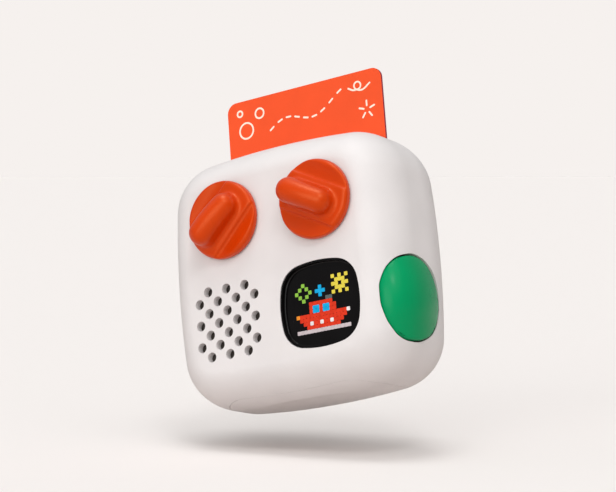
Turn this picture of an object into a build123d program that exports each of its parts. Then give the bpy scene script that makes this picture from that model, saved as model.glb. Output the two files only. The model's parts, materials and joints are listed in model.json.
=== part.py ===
from build123d import *
import os
from math import asin, cos, degrees, radians, sin, sqrt

# A palm-sized story player for children: a pillow-shaped speaker box that plays the card
# standing in its top slot. X is to the right of someone facing it, Y points to its back
# and Z is up. The origin is the centre of the flat under the base pad. Lengths are in mm.

# ---- story card: a standard ID-1 card, standing on its short edge
card_width = 53.98
card_height = 85.60
card_thickness = 0.76
card_corner = 3.18
card_above_top = 20.2        # how far the parked card stands out of the case
card_y = 1.7                 # the card's plane, behind the middle of the case

# ---- pillow-shaped case
card_to_side = 11.4          # from the card's edge to the case's side
card_to_underside = 9.8      # from the card's low edge to the case's underside
half_width = card_width / 2 + card_to_side
half_height = (card_height - card_above_top + card_to_underside) / 2
depth = 40.0
front_to_card = 23.2         # from the case's front to the card's plane
side_bow = 2.5               # how far each side swells between its corners
corner_radius = 15.5
front_round = 10.3           # how far in from the side each rounding starts
rear_round = 12.5
round_stretch = 1.45         # how much deeper than wide the roundings are
wall = 2.2
seam_angle = 55.0            # the rear cover starts this far round the rear edge
seam_groove = 0.3
seam_groove_depth = 0.7
underside_flat = 0.5         # planed off the swelling underside, so that it stands

# ---- base pad let into the underside, over the cover screws
pad_width = 52.0
pad_from_front = 5.6
pad_to_lip = 0.6             # between the pad's rear edge and the rear cover's lip
pad_corner = 10.0
pad_thickness = 1.4
pad_gap = 0.15

# ---- knobs and their encoders
knob_spacing = 31.2
knobs_right = 0.9            # how far right of the case's middle the pair stands
knob_above_centre = 15.9
knob_radius = 11.35
knob_gap = 0.6               # under the knob: its press travel and a little air
knob_edge = 1.3              # roundness of the knob's outer edge
knob_face = 3.0              # the knob's face above the case front
scoop_start = 5.4            # from the ridge's middle to the scoop beside it
scoop_draft = 0.3
scoop_depth = 0.9
scoop_middle = 6.4           # where the scoop is deepest
scoop_rounding = 0.3
ridge_top = 10.3             # crest of the finger ridge above the case front
ridge_radius = 3.7           # half the ridge's width: its crest is fully round
ridge_foot = 1.3             # radius of the hollow along its foot
ridge_reach = 5.5            # from the knob's axis to the middle of the high rounded end
ridge_fall = 20.0            # degrees of arc along which the crest falls
ridge_arc = 32.0             # radius of that arc
left_pointing = 225.0        # where each ridge's high end points, in degrees from +X
right_pointing = 152.4
shaft_radius = 3.0
shaft_flat = 2.2             # from the shaft's axis to its flat
shaft_tip = 4.0              # how far the shaft stands out of the case front
hub_radius = 4.3
hub_length = 1.0             # what shows of the hub inside the case
encoder_size = 12.0
encoder_depth = 6.0
rotor_radius = 4.4
rotor_thickness = 1.6
rotor_notches = 12
notch_radius = 0.4
rotor_cover = 1.6            # the encoder case's front wall
dome_radius = 3.0
dome_height = 0.5
dome_bevel = 1.5
push_travel = 0.5

# ---- display
display_to_button = 1.4      # between the display's well and the pressed power button
display_drop = 13.3
window_width = 26.3
window_height = 24.6
window_bow = 1.9
window_corner = 7.6
window_recess = 1.5
lens_rim = 0.45
lens_rim_drop = 0.15
lens_corner = 0.4            # roundness where the lens's rim meets its floor
lens_flange = 1.0
lens_flange_thickness = 1.2
pixel_count = 16
pixel_pitch = 1.38
pixel_rib = 0.24
baffle_depth = 2.6
well_wall = 0.8
led_ear_width = 8.0
led_screw_reach = 15.9

# ---- speaker
speaker_to_display = 2.0     # between the speaker's flange and the display's well
speaker_drop = 13.2
hole_pitch = 6.3             # between neighbours in a column; columns stand half as far
hole_columns = 7
hole_radius = 1.45
speaker_radius = 13.8
speaker_ear_reach = 16.4
speaker_ear_angles = (135, 315)
speaker_flange = 1.0
basket_sheet = 0.8
basket_depth = 4.4
basket_step = 1.0            # between the gasket and the cone's edge
cone_depth = 2.4
cone_sheet = 0.4
surround_edge = 0.8
surround_roll = 1.4
surround_height = 0.4
dust_cap_height = 1.0
dust_cap_radius = 3.6
magnet_radius = 8.0
magnet_depth = 4.0
magnet_bevel = 0.5
cloth_radius = 13.4
cloth_thickness = 0.3
gasket_thickness = 0.8
gasket_width = 0.9

# ---- power button in the right side
button_y = -7.07
button_drop = 13.76
button_radius = 11.7
button_gap = 0.25
button_crown = 1.9           # how far the dome stands out of the side
button_dome_radius = 18.6
button_rounding = 4.0        # between the dome and the skirt
button_wall = 1.5
button_travel = 0.6
button_post = 2.6
collar_wall = 1.3
collar_depth = 3.2
tab_reach = 0.8
tab_width = 5.0
tab_thickness = 0.7
tact_size = 6.2
tact_depth = 3.5
stem_radius = 1.7
stem_depth = 0.9             # how far the stem reaches into the switch at rest
button_board_height = 16.0
button_board_width = 10.7
fin_thickness = 1.4
peg_radius = 0.9
peg_reach = 5.8

# ---- card guide
card_play = 0.5              # beside the card
guide_play = 0.37            # before and behind the card
guide_wall = 1.2
guide_side = 1.3
guide_floor = 1.2
guide_top_height = 31.0
guide_ear_size = 5.4
guide_ear_heights = (4.0, 19.0)
guide_foot_x = 8.0
guide_foot_width = 4.0
slot_play = 0.52             # before and behind the card, in the case's top
slot_end_play = 1.6
slot_lead = 0.9              # depth of the bevel around the slot's mouth
guide_lead = 0.7

# ---- boards, sockets and battery; heights are from the case's middle
board_thickness = 1.2
board_gap = 0.4              # beside the posts that a board passes between
board_to_wall = 1.2
board_margin = 3.0           # from a screw to its board's edge
control_board_low = 2.6
control_board_high = 29.4
main_board_side = 1.9        # between the main board's left edge and the case wall
main_board_right = 28.4
main_board_low = -25.4
main_board_high = 27.4
main_board_standoff = 1.75
antenna_raise = -2.0
antenna_width = 46.0
antenna_height = 36.0
antenna_thickness = 0.8
ferrite_thickness = 0.3
ferrite_margin = 1.0
jack_radius = 1.8
jack_length = 14.0
jack_nose_radius = 3.0
jack_height = -6.0
jack_case = 6.2
jack_back = 1.0              # the jack's wall behind its bore
usb_height = -19.0
usb_width = 8.94
usb_thickness = 3.26
usb_length = 7.4
usb_shell = 0.35
usb_tongue = 0.8
socket_inset = 0.35          # the sockets' mouths lie this far inside the side
battery_left = -16.0
battery_width = 38.0
battery_low = -14.0
battery_height = 36.0
battery_thickness = 6.4
battery_corner = 2.0
battery_pad_margin = 4.0
battery_frame = 1.2
battery_frame_depth = 5.0
chip_thickness = 1.2
processor = ((9.0, 9.0), (-6.0, -19.0))   # size, then place
memory = ((8.0, 6.0), (8.0, -19.0))
charger = ((4.0, 4.0), (-20.0, 12.0))
can_width = 18.0
can_height = 14.0
can_thickness = 2.0
can_edge = 0.5
can_place = (4.0, 8.0)

# ---- rear cover's hooks and lugs
hook_x = 20.0
hook_width = 6.0
hook_height = 25.0
hook_thickness = 1.7
hook_bite = 0.8
catch_thickness = 1.2
lug_x = 14.5
lug_width = 7.0
lug_to_board = 0.3           # between the lugs and the main board's back
lug_height = 4.8
cover_screw_inset = 2.1      # from a lug's front to its screw
lip_height = 2.0
lip_thickness = 1.2
lug_boss_radius = 3.5

# ---- screws and fits
screw_radius = 1.0
screw_head_radius = 2.0
screw_head = 1.2
screw_length = 5.0
short_screw_length = 3.1
pilot_play = 0.05
fit_gap = 0.15
free_gap = 0.3
running_gap = 0.05
boss_radius = 2.5
small_boss_radius = 2.0
over = 1.0                   # how far a cutting body runs past what it cuts

# ---- places worked out from the sizes above
mid_z = half_height - underside_flat
front_y = card_y - front_to_card
rear_y = front_y + depth
inner_front_y = front_y + wall
inner_rear_y = rear_y - wall
rear_reach = round_stretch * rear_round
inner_reach = round_stretch * (rear_round - wall)
seam_y = rear_y - rear_reach * (1 - sin(radians(seam_angle)))
lip_y = seam_y - lip_height
catch_y = lip_y - free_gap - catch_thickness
pad_front_y = front_y + pad_from_front
pad_rear_y = lip_y - wall / 2 - pad_to_lip
seam_share = 1 - (inner_rear_y - seam_y) / inner_reach
seam_inset = rear_round - (rear_round - wall) * sqrt(1 - seam_share**2)
inner_width = half_width - wall
card_top = mid_z + half_height + card_above_top
card_bottom = card_top - card_height
guide_channel = card_thickness + 2 * guide_play
slot_width = card_thickness + 2 * slot_play
guide_front_y = card_y - guide_channel / 2 - guide_wall
guide_rear_y = card_y + guide_channel / 2 + guide_wall
guide_half = card_width / 2 + card_play + guide_side
guide_top = mid_z + guide_top_height
guide_ear_x = guide_half + guide_ear_size / 2
hub_end_y = inner_front_y + hub_length
encoder_front_y = hub_end_y + push_travel + free_gap
control_board_y = encoder_front_y + encoder_depth
control_board_x = guide_ear_x - boss_radius - board_gap
rotor_front_y = encoder_front_y + rotor_cover
rotor_back_y = rotor_front_y + rotor_thickness
shaft_end_y = control_board_y - dome_height - push_travel - 2 * running_gap
lens_back_y = inner_front_y + lens_flange_thickness
led_board_y = lens_back_y + baffle_depth
gasket_y = inner_front_y + cloth_thickness
speaker_y = gasket_y + gasket_thickness
main_board_y = guide_rear_y + main_board_standoff
board_back_y = main_board_y + board_thickness
main_board_left = main_board_side - inner_width
battery_front_y = board_back_y + can_thickness + free_gap
battery_back_y = battery_front_y + battery_thickness
floor_top = wall + pad_thickness - underside_flat
lug_swell = side_bow * ((lug_x + lug_width / 2) / (half_width - side_bow)) ** 2
lug_bottom = seam_inset + fit_gap + lug_swell - underside_flat
lug_front_y = board_back_y + lug_to_board
cover_screw_y = lug_front_y + cover_screw_inset
screw_share = 1 - (rear_y - cover_screw_y - screw_head_radius) / rear_reach
screw_inset = rear_round * (1 - sqrt(1 - screw_share**2))
cover_screw_seat = floor_top - wall + screw_inset + lug_swell + screw_head + fit_gap
button_z = mid_z - button_drop
collar_end_x = inner_width - collar_depth
skirt_end_x = collar_end_x - free_gap - tab_thickness
pressed_end_x = skirt_end_x - button_travel
tact_front_x = skirt_end_x - button_travel - free_gap * 2
tact_back_x = tact_front_x - tact_depth
fin_x = tact_back_x - board_thickness
knob_z = mid_z + knob_above_centre
knob_places = {
    "left": (knobs_right - knob_spacing / 2, knob_z, left_pointing),
    "right": (knobs_right + knob_spacing / 2, knob_z, right_pointing),
}
well_half = window_width / 2 + lens_flange + fit_gap + well_wall
display_x = pressed_end_x - display_to_button - well_half
speaker_x = display_x - well_half - speaker_to_display - speaker_radius
display_at = (display_x, mid_z - display_drop)
speaker_at = (speaker_x, mid_z - speaker_drop)
jack_y = board_back_y + jack_case / 2
usb_y = board_back_y + usb_thickness / 2


# ---- helpers
def facing(x, z, y=front_y, turn=0.0):
    """A plane square to Y: its own X is to the right, its Y up, its normal to the front."""
    across = (cos(radians(turn)), 0, sin(radians(turn)))
    return Plane(origin=(x, y, z), x_dir=across, z_dir=(0, -1, 0))


def sideways(x):
    """A plane square to X on the power button's axis, its normal out of the right side."""
    return Plane(origin=(x, button_y, button_z), x_dir=(0, 1, 0), z_dir=(1, 0, 0))


def block(x, y, z):
    """A box between three pairs of limits."""
    sizes = [high - low for low, high in (x, y, z)]
    middle = [(low + high) / 2 for low, high in (x, y, z)]
    return Pos(*middle) * Box(*sizes)


def both(value):
    return (-value, value)


def around(middle, half):
    return (middle - half, middle + half)


def slab(sketch, x, z, y_front, y_back, turn=0.0):
    """A sketch seen from the front, given its thickness along Y."""
    return extrude(facing(x, z, y_back, turn) * sketch, y_back - y_front)


def rod(x, z, y_front, y_back, radius):
    """A round bar along Y."""
    return slab(Circle(radius), x, z, y_front, y_back)


def joined(pieces):
    """Pieces fused into one."""
    whole, *others = pieces
    return whole + others if others else whole


def bowed(half_x, half_z, bow, corner):
    """A rectangle with gently swelling sides and round corners."""
    x = half_x - bow
    z = half_z - bow
    sides = [
        ThreePointArc((x, -z), (half_x, 0), (x, z)),
        ThreePointArc((x, z), (0, half_z), (-x, z)),
        ThreePointArc((-x, z), (-half_x, 0), (-x, -z)),
        ThreePointArc((-x, -z), (0, -half_z), (x, -z)),
    ]
    face = make_face(sides)
    return fillet(face.vertices(), corner)


def case_outline(inset):
    return bowed(half_width - inset, half_height - inset, side_bow, corner_radius - inset)


def pillow(inset=0.0):
    """The case's outer form, or the same form lying deeper by an inset.

    Its roundings are drawn round and then stretched from front to back, so that they start
    firmly at the faces and run out slowly along the sides.
    """
    near, far = [y / round_stretch for y in (front_y + inset, rear_y - inset)]
    form = slab(case_outline(inset), 0, mid_z, near, far)
    form = fillet(form.faces().sort_by(Axis.Y)[0].edges(), front_round - inset)
    form = fillet(form.faces().sort_by(Axis.Y)[-1].edges(), rear_round - inset)
    return scale(form, by=(1, round_stretch, 1))


def side_at(y, z):
    """How far out the case's side lies, behind its middle."""
    share = 1 - (rear_y - y) / rear_reach
    swell = side_bow * ((z - mid_z) / (half_height - side_bow)) ** 2
    return half_width - rear_round * (1 - sqrt(1 - share**2)) - swell


def pad_column(grow):
    """The base pad's outline, seen from below, as a column through the underside."""
    middle = (pad_front_y + pad_rear_y) / 2
    length = pad_rear_y - pad_front_y
    outline = RectangleRounded(pad_width + 2 * grow, length + 2 * grow, pad_corner + grow)
    return extrude(Plane.XY.offset(-wall) * Pos(0, middle) * outline, 5 * wall)


def screw(x, z, y_seat, length):
    """A pan-head screw driven from behind: its head's underside is at y_seat."""
    shank = rod(x, z, y_seat - length, y_seat, screw_radius)
    head = rod(x, z, y_seat, y_seat + screw_head, screw_head_radius)
    socket = RegularPolygon(screw_radius, 6)
    return shank + head - slab(socket, x, z, y_seat + screw_head / 2, y_seat + screw_head)


def screws(places, y_seat, length):
    return Compound(children=[screw(x, z, y_seat, length) for x, z in places])


def pilots(places, y_mouth, depth):
    """Holes for screw shanks, a little deeper than the shanks reach."""
    radius = screw_radius + pilot_play
    return [rod(x, z, y_mouth - depth - fit_gap, y_mouth + fit_gap, radius) for x, z in places]


def screw_holes(places, y_front, y_back):
    """Clearance holes for screws, through what they hold down."""
    return [rod(x, z, y_front - over, y_back + over, screw_radius + fit_gap) for x, z in places]


def polar(middle, reach, angles):
    """Places around a middle, at angles in degrees."""
    x, z = middle
    return [(x + reach * cos(radians(a)), z + reach * sin(radians(a))) for a in angles]


# ---- places that several pieces share
guide_posts = [(x, mid_z + h) for x in both(guide_ear_x) for h in guide_ear_heights]
control_posts = [
    (x, mid_z + h)
    for x in both(control_board_x - board_margin)
    for h in (control_board_low + board_margin, control_board_high - board_margin)
]
main_posts = [
    (x, mid_z + h)
    for x in both(main_board_right - board_margin)
    for h in (main_board_low + board_margin, main_board_high - board_margin)
]
led_posts = polar(display_at, led_screw_reach, (90, 270))
speaker_posts = polar(speaker_at, speaker_ear_reach, speaker_ear_angles)


def window_outline(grow=0.0):
    half_x = window_width / 2 + grow
    half_z = window_height / 2 + grow
    return bowed(half_x, half_z, window_bow, window_corner + grow)


def d_outline(grow=0.0):
    """A shaft's round section with its flat."""
    radius = shaft_radius + grow
    keep = Pos(shaft_flat + grow - radius, 0) * Rectangle(2 * radius, 2 * radius)
    return Circle(radius) & keep


# ---- case
def case_shell():
    return pillow() - pillow(wall)


def slice_of_case(y_front, y_back):
    return block(both(2 * half_width), (y_front, y_back), (-wall, 3 * half_height))


def speaker_holes():
    """A staggered pattern of round holes: columns of three and four by turns."""
    holes = []
    for column in range(hole_columns):
        count = 3 + column % 2
        x = speaker_at[0] + (column - hole_columns // 2) * hole_pitch / 2
        for row in range(count):
            z = speaker_at[1] + (row - (count - 1) / 2) * hole_pitch
            holes.append(rod(x, z, front_y - over, inner_front_y + over, hole_radius))
    return holes


def card_slot():
    """The slot through the top, with a bevelled mouth that leads the card in."""
    top = mid_z + half_height
    length = card_width + 2 * slot_end_play
    slot = SlotOverall(length, slot_width)
    mouth = SlotOverall(length + 2 * slot_lead, slot_width + 2 * slot_lead)
    cut = extrude(Plane.XY.offset(guide_top) * Pos(0, card_y) * slot, 2 * half_height)
    lower = Plane.XY.offset(top - slot_lead) * Pos(0, card_y) * slot
    upper = Plane.XY.offset(top) * Pos(0, card_y) * mouth
    return cut + loft([lower, upper])


def side_openings():
    """The mouths for the headphone jack and the charging socket, in the left side."""
    side = Plane(origin=(-half_width - over, 0, mid_z), x_dir=(0, 1, 0), z_dir=(1, 0, 0))
    round_hole = Circle(jack_nose_radius + fit_gap)
    long_hole = SlotOverall(usb_width + 2 * free_gap, usb_thickness + 2 * free_gap, rotation=90)
    jack = extrude(side * Pos(jack_y, jack_height) * round_hole, 4 * wall)
    usb = extrude(side * Pos(usb_y, usb_height) * long_hole, 4 * wall)
    return [jack, usb]


def housing_bosses():
    """What stands up inside the front housing."""
    bosses = [rod(x, z, front_y, guide_front_y, boss_radius) for x, z in guide_posts]
    bosses += [rod(x, z, front_y, control_board_y, boss_radius) for x, z in control_posts]
    bosses += [rod(x, z, front_y, led_board_y, small_boss_radius) for x, z in led_posts]
    bosses += [rod(x, z, front_y, speaker_y, small_boss_radius) for x, z in speaker_posts]
    well = window_outline(lens_flange + fit_gap + well_wall)
    bosses.append(slab(well, *display_at, front_y, led_board_y))
    collar = Circle(button_radius + button_gap + collar_wall)
    bosses.append(extrude(sideways(collar_end_x) * collar, 2 * collar_depth))
    catch_low = mid_z + hook_height + hook_thickness + free_gap
    for x in both(hook_x):
        across = around(x, hook_width / 2 + free_gap)
        along = (catch_y, catch_y + catch_thickness)
        bosses.append(block(across, along, (catch_low, catch_low + half_height)))
    for x in both(lug_x):
        seat = Plane.XY * Pos(x, cover_screw_y)
        bosses.append(extrude(seat * Circle(lug_boss_radius), lug_bottom))
    return joined(bosses) & pillow(wall / 2)


def front_housing():
    """Front, sides and most of the top: the deep moulding that carries everything."""
    thick_floor = pad_column(wall / 2) & (pillow(wall / 2) - pillow(wall + pad_thickness))
    shell = case_shell() + thick_floor + housing_bosses()
    shell &= slice_of_case(2 * front_y, seam_y)
    cuts = [pad_column(0) - pillow(pad_thickness + running_gap)]
    cuts.append(slab(window_outline(), *display_at, front_y - over, inner_front_y + over))
    flange_room = window_outline(lens_flange + fit_gap)
    cuts.append(slab(flange_room, *display_at, inner_front_y, led_board_y + over))
    button_hole = Circle(button_radius + button_gap)
    cuts.append(extrude(sideways(pressed_end_x - free_gap) * button_hole, half_width))
    hub_hole = hub_radius + free_gap
    cuts += [rod(x, z, front_y - over, hub_end_y, hub_hole) for x, z, _ in knob_places.values()]
    cuts += speaker_holes()
    cuts.append(rod(*speaker_at, inner_front_y, speaker_y + speaker_flange, speaker_radius + fit_gap))
    cuts += pilots(guide_posts, guide_front_y, screw_length - guide_wall)
    cuts += pilots(control_posts, control_board_y, screw_length - board_thickness)
    cuts += pilots(led_posts, led_board_y, short_screw_length - board_thickness)
    cuts += pilots(speaker_posts, speaker_y, short_screw_length - speaker_flange)
    for x in both(lug_x):
        below = Plane.XY.offset(-wall) * Pos(x, cover_screw_y)
        cuts.append(extrude(below * Circle(screw_head_radius + free_gap), wall + cover_screw_seat))
        cuts.append(extrude(below * Circle(screw_radius + fit_gap), half_height))
    cuts.append(card_slot())
    cuts += side_openings()
    return shell - cuts


def rear_cover():
    """The shallow cover behind the seam, with its rim, hooks, screw lugs and battery frame."""
    cover = case_shell() & slice_of_case(seam_y, 2 * rear_y)
    cover -= slice_of_case(seam_y - over, seam_y + seam_groove) - pillow(seam_groove_depth)
    outer = case_outline(seam_inset + fit_gap)
    rim = outer - case_outline(seam_inset + fit_gap + lip_thickness)
    added = [slab(rim, 0, mid_z, lip_y, rear_y)]
    frame_middle = (battery_left + battery_width / 2, mid_z + battery_low + battery_height / 2)
    room = Rectangle(battery_width + 2 * free_gap, battery_height + 2 * free_gap)
    frame = offset(room, battery_frame, kind=Kind.INTERSECTION) - room
    added.append(slab(frame, *frame_middle, inner_rear_y - battery_frame_depth, rear_y))
    hook_low = mid_z + hook_height
    hook_high = hook_low + hook_thickness
    hook_back = catch_y - free_gap
    hook_front = hook_back - hook_thickness
    for x in both(hook_x):
        across = around(x, hook_width / 2)
        added.append(block(across, (hook_front, rear_y), (hook_low, hook_high)))
        added.append(block(across, (hook_front, hook_back), (hook_low, hook_high + hook_bite)))
    for x in both(lug_x):
        across = around(x, lug_width / 2)
        added.append(block(across, (lug_front_y, rear_y), (lug_bottom, lug_bottom + lug_height)))
    cover += joined(added) & pillow(wall / 2)
    pilot = Cylinder(screw_radius + pilot_play, 3 * lug_height)
    return cover - [Pos(x, cover_screw_y, lug_bottom) * pilot for x in both(lug_x)]


def cover_screws():
    """Two screws that enter from below, under the base pad, and hold the rear cover's lugs."""
    both_screws = []
    for x in both(lug_x):
        level = Plane.XY.offset(cover_screw_seat) * Pos(x, cover_screw_y)
        shank = extrude(level * Circle(screw_radius), lug_bottom + lug_height - cover_screw_seat)
        head = extrude(level * Circle(screw_head_radius), -screw_head)
        socket = extrude(level * Pos(0, 0, -screw_head) * RegularPolygon(screw_radius, 6), screw_head / 2)
        both_screws.append(shank + head - socket)
    return Compound(children=both_screws)


def base_pad():
    """A rubber pad that follows the underside and ends in the flat that the player stands on."""
    skin = pillow() - pillow(pad_thickness)
    above_ground = block(both(half_width), (front_y, rear_y), (0, half_height))
    return skin & pad_column(-pad_gap) & above_ground


# ---- knobs and encoders; a knob is drawn with X to where it points and Z out of the case
def finger_ridge():
    """A bar with a fully round crest that falls along an arc, and a round end at each end."""
    crest = ridge_top - ridge_radius
    section = Pos(0, crest) * Circle(ridge_radius) & Pos(0, ridge_top) * Rectangle(
        2 * ridge_radius, 2 * ridge_radius)
    section += Pos(0, crest / 2) * Rectangle(2 * ridge_radius, crest)
    tip = Plane(origin=(ridge_reach, 0, 0), x_dir=(0, 1, 0), z_dir=(1, 0, 0))
    fall = Axis((ridge_reach, 0, ridge_top - ridge_arc), (0, -1, 0))
    inner_arc = ridge_arc - ridge_radius
    low_reach = ridge_reach - inner_arc * sin(radians(ridge_fall))
    low_crest = ridge_top - ridge_arc + inner_arc * cos(radians(ridge_fall))
    bar = revolve(tip * section, fall, ridge_fall)
    length = ridge_reach - low_reach
    body = Pos((ridge_reach + low_reach) / 2, 0) * SlotCenterToCenter(length, 2 * ridge_radius)
    ridge = bar + extrude(body, low_crest)
    for reach, height in ((ridge_reach, crest), (low_reach, low_crest)):
        end = extrude(Pos(reach, 0) * Circle(ridge_radius), height)
        ridge += end + Pos(reach, 0, height) * Sphere(ridge_radius)
    return ridge & Pos(0, 0, ridge_top / 2) * Box(4 * knob_radius, 4 * knob_radius, ridge_top)


def finger_scoop():
    """The hollow beside the ridge: a drafted step down and a shallow curve back up."""
    rise = knob_radius - knob_edge - scoop_middle
    curve = (rise**2 + scoop_depth**2) / (2 * scoop_depth)
    bowl = Pos(scoop_middle, knob_face - scoop_depth + curve) * Circle(curve)
    foot = scoop_start + scoop_draft
    low = knob_face - scoop_depth
    beside = make_face(Polyline((scoop_start, knob_face + over), (scoop_start, knob_face), (foot, low),
                                (knob_radius + over, low), (knob_radius + over, knob_face + over),
                                (scoop_start, knob_face + over)))
    return extrude(Plane.YZ * (bowl & beside), knob_radius, both=True)


def knob_disc():
    """A round plate whose outer edge is well rounded: all that the ridge's foot may cover."""
    crown = knob_radius - knob_edge
    outline = make_face([
        Line((knob_radius, knob_gap), (knob_radius, knob_face - knob_edge)),
        TangentArc((crown, knob_face), (knob_radius, knob_face - knob_edge), tangent=(1, 0)),
        Polyline((crown, knob_face), (crown, ridge_top), (0, ridge_top), (0, knob_gap), (knob_radius, knob_gap)),
    ])
    return revolve(Plane.XZ * outline, Axis.Z)


def knob_top():
    """Plate and ridge in one, with the hollow foot around the ridge and a scoop on both sides."""
    plate = Cylinder(2 * knob_radius, knob_face, align=(Align.CENTER, Align.CENTER, Align.MIN))
    top = plate + finger_ridge()
    foot_edges = [e for e in top.edges() if abs(e.center().Z - knob_face) < fit_gap
                  and e.center().length < 2 * knob_radius and e.length < 2 * knob_radius]
    top = fillet(foot_edges, ridge_foot)
    scoop = finger_scoop()
    top -= [scoop, mirror(scoop, Plane.XZ)]
    return top & knob_disc()


def knob(x, z, pointing):
    """A dished disc, a finger ridge and the hub that takes the encoder's shaft."""
    inside = wall + hub_length
    hub = extrude(Plane.XY.offset(-inside) * Circle(hub_radius), inside + knob_face - scoop_depth)
    depth_of_bore = inside + shaft_tip + fit_gap
    bore = extrude(Plane.XY.offset(-inside) * d_outline(running_gap), depth_of_bore)
    return facing(x, z, turn=pointing) * (knob_top() + hub - bore)


def encoder_shaft(x, z, pointing):
    return slab(d_outline(), x, z, front_y - shaft_tip, shaft_end_y, pointing)


def encoder_rotor(x, z, pointing):
    """The notched wiper disc that the shaft turns and slides through."""
    rim = PolarLocations(rotor_radius, rotor_notches) * Circle(notch_radius)
    disc = Circle(rotor_radius) - d_outline(running_gap) - rim
    return slab(disc, x, z, rotor_front_y, rotor_back_y, pointing)


def encoder_case(x, z, pointing):
    """A square case with a bearing for the shaft and a chamber for the rotor."""
    play = 2 * running_gap
    case = slab(Rectangle(encoder_size, encoder_size), x, z, encoder_front_y, control_board_y)
    bearing = rod(x, z, encoder_front_y - over, control_board_y, shaft_radius + running_gap)
    chamber = rod(x, z, rotor_front_y - play, rotor_back_y + play, rotor_radius + running_gap)
    behind = rod(x, z, rotor_back_y, control_board_y + over, dome_radius + free_gap)
    return case - [bearing, chamber, behind]


def push_dome(x, z, pointing):
    """The snap dome that the shaft's end presses."""
    dome = rod(x, z, control_board_y - dome_height, control_board_y, dome_radius)
    return chamfer(dome.faces().sort_by(Axis.Y)[0].edges(), dome_height / 2, dome_bevel)


def control_board():
    low = mid_z + control_board_low
    high = mid_z + control_board_high
    outline = RectangleRounded(2 * control_board_x, high - low, board_margin)
    back = control_board_y + board_thickness
    board = slab(outline, 0, (low + high) / 2, control_board_y, back)
    return board - screw_holes(control_posts, control_board_y, back)


# ---- display
def display_lens():
    """A black cup: its rim lines the window, and its floor is the glass before the lights."""
    rim_y = front_y + lens_rim_drop
    cup = slab(window_outline(-fit_gap), *display_at, rim_y, inner_front_y)
    hollow = slab(window_outline(-fit_gap - lens_rim), *display_at, rim_y - over, front_y + window_recess)
    hollow = fillet(hollow.faces().sort_by(Axis.Y)[-1].edges(), lens_corner)
    flange = slab(window_outline(lens_flange), *display_at, inner_front_y, lens_back_y)
    return cup - hollow + flange


def light_baffle():
    """A grid with one square cell for each pixel behind the window, which keeps their light apart."""
    cell = Rectangle(pixel_pitch - pixel_rib, pixel_pitch - pixel_rib)
    lit = window_outline()
    grid = GridLocations(pixel_pitch, pixel_pitch, pixel_count, pixel_count)
    cells = [place * cell for place in grid if lit.is_inside(place.position)]
    return slab(window_outline(lens_flange) - cells, *display_at, lens_back_y, led_board_y)


def led_board():
    back = led_board_y + board_thickness
    outline = window_outline(lens_flange + fit_gap + well_wall)
    ear_reach = 2 * (led_screw_reach + small_boss_radius)
    ears = RectangleRounded(led_ear_width, ear_reach, small_boss_radius)
    board = slab(outline + ears, *display_at, led_board_y, back)
    return board - screw_holes(led_posts, led_board_y, back)


# ---- speaker
def grille_cloth():
    return rod(*speaker_at, inner_front_y, gasket_y, cloth_radius)


def speaker_gasket():
    ring = Circle(speaker_radius) - Circle(speaker_radius - gasket_width)
    return slab(ring, *speaker_at, gasket_y, speaker_y)


def speaker_turned(outline):
    """A body of revolution on the speaker's axis, from an outline of radius and depth."""
    x, z = speaker_at
    plane = Plane(origin=(x, speaker_y, z), x_dir=(1, 0, 0), z_dir=(0, 0, 1))
    return revolve(plane * outline, Axis((x, speaker_y, z), (0, 1, 0)))


def speaker_basket():
    """A pressed frame: a screwed flange, a windowed cone and the plate for the magnet."""
    rim = speaker_radius - basket_step
    shoulder = rim - speaker_flange
    seat = magnet_radius + basket_sheet
    flange_back = speaker_flange + basket_sheet
    inside = basket_depth - basket_sheet
    frame = speaker_turned(make_face(Polyline(
        (shoulder, speaker_flange), (rim, speaker_flange), (rim, 0), (speaker_radius, 0),
        (speaker_radius, flange_back), (shoulder + basket_sheet, flange_back),
        (seat, basket_depth), (dust_cap_radius, basket_depth),
        (dust_cap_radius, inside), (magnet_radius, inside),
        close=True,
    )))
    added = []
    for angle, (x, z) in zip(speaker_ear_angles, speaker_posts):
        root = speaker_radius - speaker_ear_reach - basket_step / 2
        tab = SlotCenterPoint((root / 2, 0), (root, 0), 2 * small_boss_radius)
        added.append(slab(tab, x, z, speaker_y, speaker_y + speaker_flange, angle))
    bore = rod(*speaker_at, speaker_y - over, speaker_y + speaker_flange, rim)
    start = speaker_y + flange_back
    windows = polar(speaker_at, (shoulder + seat) / 2, range(0, 360, 90))
    width = (shoulder - magnet_radius) / 2
    cuts = [rod(x, z, start, start + basket_depth, width) for x, z in windows]
    cuts += screw_holes(speaker_posts, speaker_y, speaker_y + speaker_flange)
    return frame + [tab - bore for tab in added] - cuts


def speaker_cone():
    """The surround, cone and dust cap, as one thin turned piece."""
    rim = speaker_radius - basket_step - running_gap
    roll_start = rim - surround_edge
    roll_end = roll_start - surround_roll
    level = speaker_flange
    near_side = [
        (rim, level), (roll_start, level), ((roll_start + roll_end) / 2, level - surround_height),
        (roll_end, level), (dust_cap_radius, level + cone_depth), (0, level + cone_depth - dust_cap_height),
    ]
    far_side = [(radius, height - cone_sheet) for radius, height in reversed(near_side)]
    return speaker_turned(make_face(Polyline(*near_side, *far_side, close=True)))


def speaker_magnet():
    """The pot magnet behind the basket."""
    pot = rod(*speaker_at, speaker_y + basket_depth, speaker_y + basket_depth + magnet_depth, magnet_radius)
    return chamfer(pot.faces().sort_by(Axis.Y)[-1].edges(), magnet_bevel)


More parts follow.
